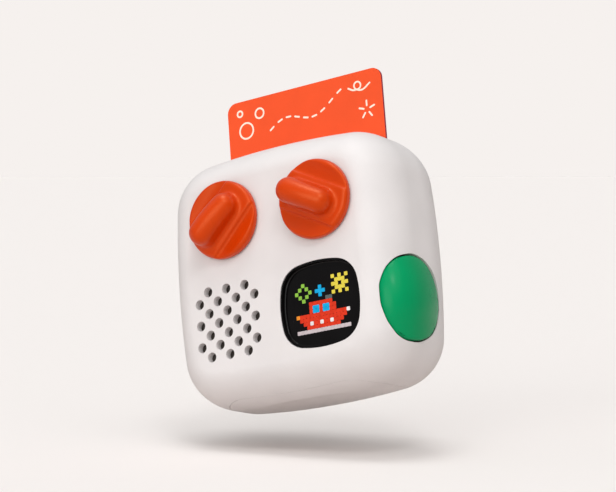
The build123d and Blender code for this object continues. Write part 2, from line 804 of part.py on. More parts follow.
# ---- power button
def button_dome(inset):
    """The cap's outer form, or the same form lying deeper by an inset."""
    radius = button_radius - inset
    apex = half_width + button_crown - inset
    dome = button_dome_radius - inset
    edge = apex - dome + sqrt(dome**2 - radius**2)
    outline = make_face([
        TangentArc((0, apex), (radius, edge), tangent=(1, 0)),
        Polyline((radius, edge), (radius, skirt_end_x), (0, skirt_end_x), (0, apex)),
    ])
    corner = outline.vertices().sort_by_distance((radius, edge))[0]
    outline = fillet(corner, button_rounding - inset)
    plane = Plane(origin=(0, button_y, button_z), x_dir=(0, 0, 1), z_dir=(0, 1, 0))
    return revolve(plane * outline, Axis((0, button_y, button_z), (1, 0, 0)))


def power_button():
    """A domed cap with a post in its middle and three tabs that hold it in the collar."""
    outer = button_dome(0)
    cap = outer - button_dome(button_wall)
    cap += extrude(sideways(skirt_end_x) * Circle(button_post), half_width) & outer
    reach = button_radius + tab_reach
    ring = Circle(reach) - Circle(button_radius - button_wall)
    spokes = Pos(reach / 2, 0) * Rectangle(reach, tab_width) + Rectangle(tab_width, 2 * reach)
    return cap + extrude(sideways(skirt_end_x) * (ring & spokes), tab_thickness)


def switch_stem():
    """The switch's own plunger, which the cap's post pushes."""
    start = tact_front_x - stem_depth
    return extrude(sideways(start) * Circle(stem_radius), skirt_end_x - start)


def tact_switch():
    case = extrude(sideways(tact_back_x) * Rectangle(tact_size, tact_size), tact_depth)
    bottom = tact_front_x - stem_depth - button_travel - 2 * running_gap
    return case - extrude(sideways(bottom) * Circle(stem_radius + running_gap), tact_depth)


def button_pegs(radius, start, length):
    """The pegs that hold the button's board on the guide's fin."""
    places = [Pos(0, reach) for reach in both(peg_reach)]
    return [extrude(sideways(start) * place * Circle(radius), length) for place in places]


def button_board():
    height = around(button_z, button_board_height / 2)
    board = block((fin_x, tact_back_x), around(button_y, button_board_width / 2), height)
    return board - button_pegs(peg_radius + running_gap, fin_x - over, 2 * over + board_thickness)


# ---- card, its guide and its reader
def story_card():
    outline = RectangleRounded(card_width, card_height, card_corner)
    front = card_y - card_thickness / 2
    return slab(outline, 0, (card_top + card_bottom) / 2, front, front + card_thickness)


def card_guide():
    """A flat pocket for the card, which also carries the main board and the button's board."""
    front_wall = (guide_front_y, guide_front_y + guide_wall)
    guide = block(both(guide_half), (guide_front_y, guide_rear_y), (card_bottom - guide_floor, guide_top))
    added = []
    for x, z in guide_posts:
        added.append(block(around(x, guide_ear_size / 2), front_wall, around(z, guide_ear_size / 2)))
    for x in both(guide_foot_x):
        feet = (floor_top + fit_gap, card_bottom - guide_floor / 2)
        added.append(block(around(x, guide_foot_width / 2), (guide_front_y, guide_rear_y), feet))
    fin_height = around(button_z, button_board_height / 2)
    fin_depth = (button_y - button_board_width / 2, guide_front_y + guide_wall / 2)
    added.append(block((fin_x - fin_thickness, fin_x), fin_depth, fin_height))
    added += button_pegs(peg_radius, fin_x - fin_thickness / 2, fin_thickness / 2 + board_thickness + fit_gap)
    added += [rod(x, z, guide_rear_y - guide_wall / 2, main_board_y, boss_radius) for x, z in main_posts]
    long = card_width + 2 * card_play
    mouth = Plane.XY.offset(guide_top) * Pos(0, card_y) * Rectangle(long, guide_channel + 2 * guide_lead)
    neck = Plane.XY.offset(guide_top - 2 * guide_lead) * Pos(0, card_y) * Rectangle(long, guide_channel)
    channel = block(both(long / 2), around(card_y, guide_channel / 2), (card_bottom, guide_top + over))
    holes = screw_holes(guide_posts, *front_wall)
    holes += pilots(main_posts, main_board_y, short_screw_length - board_thickness)
    guide = (guide + added) & pillow(wall + free_gap)
    return guide - channel - loft([neck, mouth]) - holes


def card_antenna():
    """The reader's coil board, on the guide's back."""
    back = guide_rear_y + antenna_thickness
    outline = RectangleRounded(antenna_width, antenna_height, board_margin)
    return slab(outline, 0, mid_z + antenna_raise, guide_rear_y, back)


def ferrite_sheet():
    front = guide_rear_y + antenna_thickness
    outline = Rectangle(antenna_width - 2 * ferrite_margin, antenna_height - 2 * ferrite_margin)
    return slab(outline, 0, mid_z + antenna_raise, front, front + ferrite_thickness)


def main_board():
    low = mid_z + main_board_low
    high = mid_z + main_board_high
    middle = ((main_board_left + main_board_right) / 2, (low + high) / 2)
    outline = Pos(middle[0], middle[1] - mid_z) * Rectangle(main_board_right - main_board_left, high - low)
    board = slab(outline & case_outline(wall + board_to_wall), 0, mid_z, main_board_y, board_back_y)
    return board - screw_holes(main_posts, main_board_y, board_back_y)


def on_main_board(width, height, thickness, x, z):
    """A flat component on the main board's back."""
    return slab(Rectangle(width, height), x, mid_z + z, board_back_y, board_back_y + thickness)


def board_chips():
    """The processor, memory and power chips."""
    chips = (processor, memory, charger)
    return Compound(children=[on_main_board(*size, chip_thickness, *place) for size, place in chips])


def shield_can():
    """The pressed can over the radio."""
    can = on_main_board(can_width, can_height, can_thickness, *can_place)
    return fillet(can.faces().sort_by(Axis.Y)[-1].edges(), can_edge)


def headphone_jack():
    """A 3.5 mm socket: its square case on the board, its nose in the side's round hole."""
    side = side_at(jack_y + jack_nose_radius, mid_z + jack_height)
    mouth = Plane(origin=(socket_inset - side, jack_y, mid_z + jack_height),
                  x_dir=(0, 1, 0), z_dir=(1, 0, 0))
    case_start = wall + fit_gap
    case_length = jack_length + jack_back - case_start
    nose = extrude(mouth * Circle(jack_nose_radius), case_start)
    case = extrude(mouth.offset(case_start) * Rectangle(jack_case, jack_case), case_length)
    return nose + case - extrude(mouth * Circle(jack_radius), jack_length)


def usb_socket():
    """The charging socket: a rolled shell with its tongue."""
    side = side_at(usb_y + usb_thickness / 2, mid_z + usb_height - usb_width / 2)
    mouth = Plane(origin=(socket_inset - side, usb_y, mid_z + usb_height),
                  x_dir=(0, 1, 0), z_dir=(1, 0, 0))
    outer = SlotOverall(usb_width, usb_thickness, rotation=90)
    inner = SlotOverall(usb_width - 2 * usb_shell, usb_thickness - 2 * usb_shell, rotation=90)
    shell = extrude(mouth * outer, usb_length) - extrude(mouth * inner, usb_length - usb_tongue)
    tongue = Rectangle(usb_tongue, usb_width - 3 * usb_tongue)
    return shell + extrude(mouth.offset(usb_tongue) * tongue, usb_length - usb_tongue)


def battery_block(y_front, y_back, shrink):
    across = (battery_left + shrink, battery_left + battery_width - shrink)
    low = mid_z + battery_low
    return block(across, (y_front, y_back), (low + shrink, low + battery_height - shrink))


def battery():
    cell = battery_block(battery_front_y, battery_back_y, 0)
    return fillet(cell.edges().filter_by(Axis.Z), battery_corner)


def battery_pad():
    """The foam that holds the cell against the rear cover."""
    return battery_block(battery_back_y, inner_rear_y, battery_pad_margin)


# ---- the whole player, one file for each piece
pieces = {
    "front_housing": front_housing,
    "rear_cover": rear_cover,
    "cover_screws": cover_screws,
    "base_pad": base_pad,
    "control_board": control_board,
    "display_lens": display_lens,
    "light_baffle": light_baffle,
    "led_board": led_board,
    "grille_cloth": grille_cloth,
    "speaker_gasket": speaker_gasket,
    "speaker_basket": speaker_basket,
    "speaker_cone": speaker_cone,
    "speaker_magnet": speaker_magnet,
    "power_button": power_button,
    "switch_stem": switch_stem,
    "tact_switch": tact_switch,
    "button_board": button_board,
    "story_card": story_card,
    "card_guide": card_guide,
    "card_antenna": card_antenna,
    "ferrite_sheet": ferrite_sheet,
    "main_board": main_board,
    "board_chips": board_chips,
    "shield_can": shield_can,
    "headphone_jack": headphone_jack,
    "usb_socket": usb_socket,
    "battery": battery,
    "battery_pad": battery_pad,
}
screw_sets = {
    "guide_screws": (guide_posts, guide_front_y + guide_wall, screw_length),
    "control_board_screws": (control_posts, control_board_y + board_thickness, screw_length),
    "led_board_screws": (led_posts, led_board_y + board_thickness, short_screw_length),
    "speaker_screws": (speaker_posts, speaker_y + speaker_flange, short_screw_length),
    "main_board_screws": (main_posts, board_back_y, short_screw_length),
}
knob_pieces = {
    "knob": knob,
    "encoder_shaft": encoder_shaft,
    "encoder_rotor": encoder_rotor,
    "encoder_case": encoder_case,
    "push_dome": push_dome,
}

os.makedirs("parts", exist_ok=True)
for name, make in pieces.items():
    export_step(make(), f"parts/{name}.step")
for name, (places, y_seat, length) in screw_sets.items():
    export_step(screws(places, y_seat, length), f"parts/{name}.step")
for side, place in knob_places.items():
    for name, make in knob_pieces.items():
        export_step(make(*place), f"parts/{name}_{side}.step")
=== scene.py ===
# %% [markdown]
# # An audio story player, dressed for its portrait
#
# The real object is a palm-sized player for children. A pale, pillow-shaped case of satin plastic
# holds two orange knobs, a small square display under a black lens, a speaker behind a patch of
# round holes, a big green button in the side, and a story card that stands in a slot in the top.
#
# The solid parts are already built to size. This lesson gives them their finishes, adds what is
# printed or lit rather than moulded, and sets up a small studio around them.
#
# The first cell loads the solids. Each one is a Blender object at the origin, in metres, with its
# place kept in its mesh, and each one follows the body that carries it when the player moves.

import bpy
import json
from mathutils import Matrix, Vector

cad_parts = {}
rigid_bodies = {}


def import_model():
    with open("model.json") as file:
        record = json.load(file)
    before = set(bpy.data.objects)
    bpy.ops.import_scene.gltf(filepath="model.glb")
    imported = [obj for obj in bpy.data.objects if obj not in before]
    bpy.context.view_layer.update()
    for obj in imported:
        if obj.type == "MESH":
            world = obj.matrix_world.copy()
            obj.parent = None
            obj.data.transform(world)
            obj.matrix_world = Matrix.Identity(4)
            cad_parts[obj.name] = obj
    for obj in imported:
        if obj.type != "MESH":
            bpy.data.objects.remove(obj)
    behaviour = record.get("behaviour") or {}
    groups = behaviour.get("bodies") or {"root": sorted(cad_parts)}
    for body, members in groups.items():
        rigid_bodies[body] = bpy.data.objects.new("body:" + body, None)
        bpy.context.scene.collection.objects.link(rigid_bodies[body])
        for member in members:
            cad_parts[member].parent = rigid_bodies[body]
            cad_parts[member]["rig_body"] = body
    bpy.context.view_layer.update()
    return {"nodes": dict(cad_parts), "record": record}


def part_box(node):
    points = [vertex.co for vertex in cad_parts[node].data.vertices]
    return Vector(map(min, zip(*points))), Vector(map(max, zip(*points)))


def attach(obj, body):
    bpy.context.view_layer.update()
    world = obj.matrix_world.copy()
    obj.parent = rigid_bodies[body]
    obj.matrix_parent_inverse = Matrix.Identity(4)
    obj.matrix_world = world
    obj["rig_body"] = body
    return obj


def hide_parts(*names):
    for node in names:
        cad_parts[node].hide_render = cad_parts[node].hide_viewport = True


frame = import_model()

# %% [markdown]
# ## Tools for the bench
#
# Everything below works in millimetres, because that is how such a product is drawn, and is
# turned into metres as it is made. Colours are written as a painter's chart gives them, from 0 to
# 255 for each of red, green and blue. Blender's shaders want light instead of paint, so the helper
# bends those values along the screen's curve.

# %% units and colours
import json
import math

import bpy
from mathutils import Euler, Vector

MM = 0.001


def paint(red, green, blue):
    """A colour of the chart as the shader's light, with full cover."""
    light = []
    for value in (red, green, blue):
        share = value / 255
        light.append(share / 12.92 if share <= 0.04045 else ((share + 0.055) / 1.055) ** 2.4)
    return (*light, 1.0)


def darker(colour, share):
    """The same paint, with less light in it."""
    return (*(min(1.0, channel * share) for channel in colour[:3]), 1.0)


print("a pale paint as light:", [round(c, 3) for c in paint(240, 230, 226)[:3]])

# %% [markdown]
# An operator of Blender acts on whatever is selected, and the loaded parts start out selected.
# So every step below first lets go of everything, and then takes up the one piece it works on.

# %% picking things up


def let_go():
    """Nothing selected, and object mode."""
    if bpy.context.object and bpy.context.object.mode != "OBJECT":
        bpy.ops.object.mode_set(mode="OBJECT")
    bpy.ops.object.select_all(action="DESELECT")


def take_up(piece):
    """Only this piece selected, and active."""
    let_go()
    piece.select_set(True)
    bpy.context.view_layer.objects.active = piece


def settle(piece, name):
    """Puts the piece's place into its mesh and gives it its name."""
    take_up(piece)
    bpy.ops.object.transform_apply(location=True, rotation=True, scale=True)
    piece.name = name
    piece.data.name = name
    return piece


def gather(pieces, name):
    """Joins pieces into one, with its place in its mesh."""
    let_go()
    for piece in pieces:
        piece.select_set(True)
    bpy.context.view_layer.objects.active = pieces[0]
    bpy.ops.object.join()
    return settle(pieces[0], name)


let_go()
print("selected now:", len(bpy.context.selected_objects))

# %% [markdown]
# ## Smooth skins for the moulded parts
#
# The solid parts come as loose triangles, so light would break at each one. A moulded surface has
# no such breaks. It could be drawn again by hand as a subdivision surface, but the case's shape is
# already exact, with its holes and seats, and a second drawing could only be less so.
# So a skin is a copy of a part: its corners are merged, and its shading runs smooth wherever the
# surface turns gently, while real edges stay crisp. The copy then stands for the part, which stays
# hidden underneath as the body that touches and carries things.

# %% a skin from a solid
MERGE = 0.0005 * MM     # corners nearer than this are one corner
EDGE_ANGLE = 32         # degrees; surfaces that meet at more than this keep a crisp edge


def evenly_shaded(piece):
    """Smooth shading between crisp edges, led by the large faces."""
    take_up(piece)
    bpy.ops.mesh.customdata_custom_splitnormals_clear()
    bpy.ops.object.shade_smooth_by_angle(angle=math.radians(EDGE_ANGLE))
    weighted = piece.modifiers.new("even shading", "WEIGHTED_NORMAL")
    weighted.keep_sharp = True
    bpy.ops.object.modifier_apply(modifier=weighted.name)


def skin(node, name):
    """A copy of the part with merged corners and smooth shading."""
    source = frame["nodes"][node]
    piece = bpy.data.objects.new(name, source.data.copy())
    bpy.context.scene.collection.objects.link(piece)
    piece.data.name = name
    take_up(piece)
    bpy.ops.object.mode_set(mode="EDIT")
    bpy.ops.mesh.select_all(action="SELECT")
    bpy.ops.mesh.remove_doubles(threshold=MERGE)
    bpy.ops.object.mode_set(mode="OBJECT")
    evenly_shaded(piece)
    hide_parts(node)
    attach(piece, source["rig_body"])
    print(name, "faces:", len(piece.data.polygons), "corners:", len(piece.data.vertices))
    return piece


housing = skin("front_housing", "case_front")
rear = skin("rear_cover", "case_rear")
pad = skin("base_pad", "base_skin")
knobs = [skin("knob_" + side, "finger_knob_" + side) for side in ("left", "right")]
card = skin("story_card", "card_sheet")
lens = skin("display_lens", "black_lens")

# %% [markdown]
# The knobs come out of a mould with soft corners: the rims, the finger ridge and the hollows beside
# it all run into each other over a few tenths of a millimetre. Each corner could be bevelled, but
# the hollows die out at a glancing angle, where a bevel folds over itself. So the whole knob gets
# one even net of small faces, and the net is relaxed until its corners are round. The back and the
# hub, which run close to the shell when the knob is pushed in, aren't relaxed and keep their size.

# %% soft corners for the knobs
NET = 0.2               # the side of one face of the net
RELAX_SHARE = 0.5       # how far each round takes a corner towards the middle of its neighbours
RELAX_ROUNDS = 26
DISC_BACK = -22.3       # only what lies further forward than this is relaxed


def softened(piece):
    """One even net over the piece, relaxed so that its corners turn round."""
    take_up(piece)
    net = piece.modifiers.new("even net", "REMESH")
    net.mode = "VOXEL"
    net.voxel_size = NET * MM
    bpy.ops.object.modifier_apply(modifier=net.name)
    front = piece.vertex_groups.new(name="in front of the shell")
    forward = [corner.index for corner in piece.data.vertices if corner.co.y < DISC_BACK * MM]
    front.add(forward, 1.0, "REPLACE")
    rounding = piece.modifiers.new("rounding", "SMOOTH")
    rounding.vertex_group = front.name
    rounding.factor = RELAX_SHARE
    rounding.iterations = RELAX_ROUNDS
    bpy.ops.object.modifier_apply(modifier=rounding.name)
    bpy.ops.object.shade_smooth()
    print(piece.name, "faces:", len(piece.data.polygons))


for knob in knobs:
    softened(knob)

# %% [markdown]
# ## The power button
#
# The button fills its opening in the side, and its cap carries the pillow's own curve on: its rim
# lies just under the shell all round. A plain dome on a flat rim would sink at the back and stand
# proud at the front. Here a big squashed ball is turned until its skin runs beside the shell's, and
# a punch cuts the cap out of it.

# %% the ball that the cap is cut from
BALL_MIDDLE = (-57.61, 90.76, 23.95)
BALL_RADII = (32.21, 143.74, 53.74)
BALL_TURN = (0, 1.15, 41.25)     # degrees
BALL_SEGMENTS, BALL_RINGS = 144, 72

let_go()
bpy.ops.mesh.primitive_uv_sphere_add(segments=BALL_SEGMENTS, ring_count=BALL_RINGS, radius=MM)
button = bpy.context.object
button.scale = BALL_RADII
button.rotation_euler = [math.radians(angle) for angle in BALL_TURN]
button.location = [place * MM for place in BALL_MIDDLE]
settle(button, "green_button")
print("ball faces:", len(button.data.polygons))

# %% [markdown]
# The button looks out to the front as well as to the side, so its outline reaches further round the
# front corner than a circle seen from the side. The outline is drawn as a closed curve through a
# few knots, and given a depth to make the punch. The same outline, grown by the gap round the cap,
# trims the shell's opening. It could be cut face by face, but a boolean leaves a cleaner edge.

# %% the punch and the cut
# the outline's knots: the turn in degrees, from straight back and by way of the top, and the reach
OUTLINE = (
    (0, 11.6), (30, 11.5), (60, 11.4), (88, 11.5), (112, 12.2),
    (136, 13.1), (160, 12.7), (180, 12.2), (200, 12.4), (222, 13.1),
    (238, 13.2), (260, 12.2), (285, 11.5), (315, 11.4), (340, 11.5),
)
OUTLINE_STEPS = 8       # straight pieces from one knot to the next
CAP_BEYOND = 44.0       # every punch ends here, well outside the cap
opening_low, opening_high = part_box("power_button")
opening = (opening_low + opening_high) / 2 / MM


def punch(name, back, grown):
    """A prism with the cap's outline, grown by this much, from x = back to beyond the cap."""
    let_go()
    bpy.ops.curve.primitive_bezier_circle_add()
    piece = bpy.context.object
    line = piece.data.splines[0]
    line.bezier_points.add(len(OUTLINE) - 4)
    for knot, (turn, reach) in zip(line.bezier_points, OUTLINE):
        far = (reach + grown) * MM
        knot.co = (far * math.cos(math.radians(turn)), far * math.sin(math.radians(turn)), 0)
        knot.handle_left_type = knot.handle_right_type = "AUTO"
    piece.data.dimensions = "2D"
    piece.data.fill_mode = "BOTH"
    piece.data.resolution_u = OUTLINE_STEPS
    piece.data.extrude = (CAP_BEYOND - back) / 2 * MM
    bpy.ops.object.convert(target="MESH")
    piece = bpy.context.object
    piece.rotation_euler = (math.radians(90), 0, math.radians(90))
    piece.location = ((CAP_BEYOND + back) / 2 * MM, opening.y * MM, opening.z * MM)
    settle(piece, name)
    bpy.ops.object.mode_set(mode="EDIT")
    bpy.ops.mesh.select_all(action="SELECT")
    bpy.ops.mesh.remove_doubles(threshold=MERGE)
    bpy.ops.mesh.normals_make_consistent(inside=False)
    bpy.ops.object.mode_set(mode="OBJECT")
    return piece


def cut_with(piece, tool, operation):
    """One boolean, applied. The tool is thrown away."""
    take_up(piece)
    cut = piece.modifiers.new("cut", "BOOLEAN")
    cut.operation = operation
    cut.object = tool
    bpy.ops.object.modifier_apply(modifier=cut.name)
    bpy.data.objects.remove(tool)


print("the opening's middle in mm:", [round(place, 1) for place in opening])

# %% [markdown]
# The cap keeps what the ball and the punch share. A fillet a few tenths of a millimetre wide
# softens its rim. The shell loses what stands inside the grown outline. Its shading was worked out
# for the faces it had before the cut, so that is done once more.

# %% the button's cap, and its opening
CAP_BACK = 32.4         # where the cap's flat back lies
CAP_ROUND = 0.35
CAP_ROUND_STEPS = 4
RIM_ANGLE = 30          # degrees; a sharper edge than this is the rim
CAP_EDGE_ANGLE = 40
LEDGE = 31.7            # how deep the opening is trimmed
CAP_GAP = 0.5           # between the cap and the opening, all round

cut_with(button, punch("cap_outline", CAP_BACK, 0), "INTERSECT")
take_up(button)
bpy.ops.object.mode_set(mode="EDIT")
bpy.ops.mesh.select_all(action="DESELECT")
bpy.ops.mesh.select_mode(type="EDGE")
bpy.ops.mesh.edges_select_sharp(sharpness=math.radians(RIM_ANGLE))
bpy.ops.mesh.bevel(offset=CAP_ROUND * MM, segments=CAP_ROUND_STEPS, clamp_overlap=False)
bpy.ops.mesh.select_mode(type="VERT")
bpy.ops.object.mode_set(mode="OBJECT")
bpy.ops.object.shade_smooth_by_angle(angle=math.radians(CAP_EDGE_ANGLE))
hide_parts("power_button")
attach(button, "power_button")

cut_with(housing, punch("opening_outline", LEDGE, CAP_GAP), "DIFFERENCE")
evenly_shaded(housing)
print("cap faces:", len(button.data.polygons), "furthest out at x",
      round(max(corner.co.x for corner in button.data.vertices) / MM, 2), "mm")

# %% [markdown]
# ## Finishes
#
# A finish is a small tree of nodes. The base is one shader whose own sockets hold the constant
# values. What varies over the surface comes from noise in the piece's own coordinates, so the
# pattern keeps its size in millimetres and travels with the piece.
#
# Moulded plastic is never perfectly even. The tool that shapes it is lightly blasted, which leaves
# a grain of a few tenths of a millimetre, and its colour and sheen drift a little from place to
# place. The grain could be modelled, but it is far finer than any face here, so a bump is right.

# %% a finish, and its patterns


def finish_base(name, colour, roughness, **constants):
    """A new material, and the nodes most finishes start from."""
    material = bpy.data.materials.new(name)
    material.use_nodes = True
    tree = material.node_tree
    shader = tree.nodes["Principled BSDF"]
    shader.inputs["Base Color"].default_value = colour
    shader.inputs["Roughness"].default_value = roughness
    for socket, value in constants.items():
        shader.inputs[socket.replace("_", " ")].default_value = value
    return material, tree, shader


def placed(tree, texture, stretch=(1, 1, 1)):
    """Ties a texture to the piece's own coordinates."""
    place = tree.nodes.new("ShaderNodeTexCoord")
    turn = tree.nodes.new("ShaderNodeMapping")
    turn.inputs["Scale"].default_value = stretch
    tree.links.new(place.outputs["Object"], turn.inputs["Vector"])
    tree.links.new(turn.outputs["Vector"], texture.inputs["Vector"])
    return texture


def noise_of(tree, grain_mm, detail=2.0, stretch=(1, 1, 1)):
    """Noise in the piece's own coordinates, with this grain."""
    noise = tree.nodes.new("ShaderNodeTexNoise")
    noise.inputs["Scale"].default_value = 1 / (grain_mm * MM)
    noise.inputs["Detail"].default_value = detail
    return placed(tree, noise, stretch).outputs["Fac"]


print("a grain of 1 mm asks for a noise scale of", round(1 / MM))

# %% [markdown]
# A pattern is a number at each place on the surface. Noise keeps mostly to the middle of its range,
# so that span is spread over the whole way from the low colour or value to the high one.

# %% patterns as colour, as a number and as relief
NOISE_SPAN = (0.3, 0.7)


def tinted(tree, value, low, high, socket, span=NOISE_SPAN):
    """Turns a pattern into a colour between two paints."""
    ramp = tree.nodes.new("ShaderNodeValToRGB")
    for stop, place, colour in zip(ramp.color_ramp.elements, span, (low, high)):
        stop.position = place
        stop.color = colour
    tree.links.new(value, ramp.inputs["Fac"])
    tree.links.new(ramp.outputs["Color"], socket)


def ranged(tree, value, low, high, socket):
    """Turns a pattern into a number between two limits."""
    span = tree.nodes.new("ShaderNodeMapRange")
    span.inputs["From Min"].default_value, span.inputs["From Max"].default_value = NOISE_SPAN
    span.inputs["To Min"].default_value = low
    span.inputs["To Max"].default_value = high
    tree.links.new(value, span.inputs["Value"])
    tree.links.new(span.outputs["Result"], socket)


def roughened(tree, shader, value, depth_mm):
    """Turns a pattern into fine relief."""
    bump = tree.nodes.new("ShaderNodeBump")
    bump.inputs["Distance"].default_value = depth_mm * MM
    bump.inputs["Strength"].default_value = 1.0
    tree.links.new(value, bump.inputs["Height"])
    tree.links.new(bump.outputs["Normal"], shader.inputs["Normal"])


print("noise is read from", *NOISE_SPAN)

# %% [markdown]
# The first finish is the plastic. Each moulding of the player wears it, with its own colour, sheen
# and grain, so it is one helper whose usual values are the case's.

# %% moulded plastic
DRIFT_SIZE = 14.0       # millimetres from one patch of drifting colour to the next
SHEEN_DRIFT = 0.03


def moulded(name, colour, roughness, grain=0.35, depth=0.006, drift=0.03, **constants):
    """Moulded plastic: blasted grain, and a slow drift of colour and sheen."""
    material, tree, shader = finish_base(name, colour, roughness, **constants)
    slow = noise_of(tree, DRIFT_SIZE)
    tinted(tree, slow, darker(colour, 1 - drift), darker(colour, 1 + drift),
           shader.inputs["Base Color"])
    ranged(tree, slow, roughness - SHEEN_DRIFT, roughness + SHEEN_DRIFT, shader.inputs["Roughness"])
    roughened(tree, shader, noise_of(tree, grain), depth)
    return material


def put_on(piece, *finishes):
    """The piece's material slots, from the first."""
    piece.data.materials.clear()
    for finish in finishes:
        piece.data.materials.append(finish)


shell_white = paint(227, 223, 222)
satin_shell = moulded("satin shell", shell_white, 0.5, Specular_IOR_Level=0.35)
print("first finish:", satin_shell.name, "nodes:", len(satin_shell.node_tree.nodes))

# %% [markdown]
# The case, its rear half and the skin under its base are one colour of satin plastic. The knobs and
# the button are softer mouldings with a broad, quiet sheen. The knobs' pigment lies close under the
# surface and colours that sheen, so the shine itself gets an orange tint.

# %% finishes of the moulded parts
knob_orange = paint(208, 58, 0)
button_green = paint(0, 152, 94)

base_plastic = moulded("base skin plastic", shell_white, 0.55, Specular_IOR_Level=0.3)
satin_orange = moulded("satin orange", knob_orange, 0.34, grain=0.3, depth=0.002, drift=0.04,
                       Specular_IOR_Level=0.7, Specular_Tint=(1.0, 0.5, 0.22, 1.0))
satin_green = moulded("satin green", button_green, 0.26, grain=0.3, depth=0.002, drift=0.04,
                      Specular_IOR_Level=0.12)
for piece, finish, slot in [
    (housing, satin_shell, "shell"), (rear, satin_shell, "shell"), (pad, base_plastic, "pad"),
    (knobs[0], satin_orange, "knob"), (knobs[1], satin_orange, "knob"),
    (button, satin_green, "button"),
]:
    put_on(piece, finish)
    print(piece.name, "wears", finish.name)

# %% [markdown]
# The lens is polished black. Its only unevenness is the faint ripple of a moulded window, and the
# dust and finger marks that show as patches in its sheen.

# %% the black lens


def polished_black(name):
    """Black under polish: faint ripples, and patches of dust and finger marks."""
    material, tree, shader = finish_base(name, paint(9, 7, 8), 0.12, Specular_IOR_Level=0.2)
    marks = noise_of(tree, 6.0)
    ranged(tree, marks, 0.1, 0.18, shader.inputs["Roughness"])
    tinted(tree, marks, paint(7, 5, 6), paint(11, 9, 10), shader.inputs["Base Color"])
    roughened(tree, shader, noise_of(tree, 4.0), 0.004)
    return material


put_on(lens, polished_black("polished black"))
lens_low, lens_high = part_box("display_lens")
print("lens front at y", round(lens_low.y / MM, 2), "mm")

# %% [markdown]
# ## The lit picture
#
# Behind the lens sits a square field of small lamps, one for each point of a picture. Lit, they
# show through the black as flat coloured squares. One square is modelled: a plate with clipped
# corners, a few hundredths of a millimetre thick, so that it lies on the lens's floor like a decal.
# Then it is copied to every point that the picture lights.

# %% one lit point
POINT_SIZE = 1.08
POINT_CORNER = 0.12
POINT_THICKNESS = 0.06


def plate(width, height, corner, steps, thickness, name):
    """A thin plate that faces forward, its corners clipped or rounded, its front on y = 0."""
    let_go()
    bpy.ops.mesh.primitive_plane_add(size=1, rotation=(math.radians(90), 0, 0))
    piece = bpy.context.object
    piece.scale = (width * MM, height * MM, 1)
    settle(piece, name)
    bpy.ops.object.mode_set(mode="EDIT")
    bpy.ops.mesh.bevel(affect="VERTICES", offset=corner * MM, segments=steps)
    bpy.ops.mesh.extrude_region_move(TRANSFORM_OT_translate={"value": (0, thickness * MM, 0)})
    bpy.ops.mesh.select_all(action="SELECT")
    bpy.ops.mesh.normals_make_consistent(inside=False)
    bpy.ops.object.mode_set(mode="OBJECT")
    return piece


def copied(piece, x, y, z, turn=0.0):
    """A copy with its own mesh, moved by millimetres and turned in the plane it lies in."""
    other = piece.copy()
    other.data = piece.data.copy()
    bpy.context.scene.collection.objects.link(other)
    other.location = (x * MM, y * MM, z * MM)
    other.rotation_euler = (0, math.radians(turn), 0)
    return other


point = plate(POINT_SIZE, POINT_SIZE, POINT_CORNER, 1, POINT_THICKNESS, "lit_point")
print("one point has", len(point.data.polygons), "faces")

# %% [markdown]
# The picture is a small tugboat under three shapes in the sky. It could be placed point by point,
# but rows of letters, one letter for each colour, show it as it will look. The lamps of one colour
# become one piece. Each lamp burns a little unevenly, as such small lamps do.

# %% the picture
POINT_PITCH = 1.1
LENS_FLOOR = -20.0
PICTURE = (
    "...........Y.Y.Y",
    "..G.........YYY.",
    ".G.G...C...YY.YY",
    "G...G.CCC...YYY.",
    ".G.G...C...Y.Y.Y",
    "..G......KK.....",
    "....RRRRRRR.....",
    "....RCCRCCRR....",
    "....RCCRCCRR....",
    "ORRRRRRRRRRRRRRW",
    ".RRRRRRRRRRRRRR.",
    "..RRWRRWRRWRRR..",
    "...RRRRRRRRRR...",
    "SSSSSSSSSSSSSSSS",
)
LAMPS = {
    "R": ("red", paint(226, 58, 32)), "C": ("blue", paint(22, 172, 226)),
    "G": ("green", paint(146, 196, 74)), "Y": ("yellow", paint(234, 214, 78)),
    "W": ("white", paint(244, 238, 236)), "S": ("silver", paint(206, 192, 194)),
    "K": ("grey", paint(96, 104, 102)), "O": ("amber", paint(246, 148, 48)),
}


def lit(name, colour):
    """A lamp behind the black: its own light, a little uneven from point to point."""
    material, tree, shader = finish_base(name, darker(colour, 0.1), 0.3, Specular_IOR_Level=0.15,
                                         Emission_Strength=0.9)
    uneven = noise_of(tree, 0.9, detail=0.0)
    tinted(tree, uneven, darker(colour, 0.9), darker(colour, 1.06), shader.inputs["Emission Color"])
    ranged(tree, uneven, 0.25, 0.35, shader.inputs["Roughness"])
    return material


picture_middle = (lens_low + lens_high) / 2 / MM
left = picture_middle.x - (len(PICTURE[0]) - 1) / 2 * POINT_PITCH
top = picture_middle.z + (len(PICTURE) - 1) / 2 * POINT_PITCH
for letter, (colour_name, colour) in LAMPS.items():
    places = [(column, row) for row, line in enumerate(PICTURE)
              for column, found in enumerate(line) if found == letter]
    points = [copied(point, left + column * POINT_PITCH, LENS_FLOOR - POINT_THICKNESS,
                     top - row * POINT_PITCH) for column, row in places]
    lamps = gather(points, "lamps_" + colour_name)
    put_on(lamps, lit("lit " + colour_name, colour))
    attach(lamps, "case")
    print(lamps.name, "points:", len(places))
bpy.data.objects.remove(point)

# %% [markdown]
# ## The story card
#
# The card is a laminate: printed faces with a darker core that shows as a thin line along the cut
# edge. The two finishes go on by the direction each face looks in, so the card keeps one mesh.

# %% the card's faces and its cut edge
BROADSIDE = 0.7         # a face that looks this much along Y is one of the two printed faces


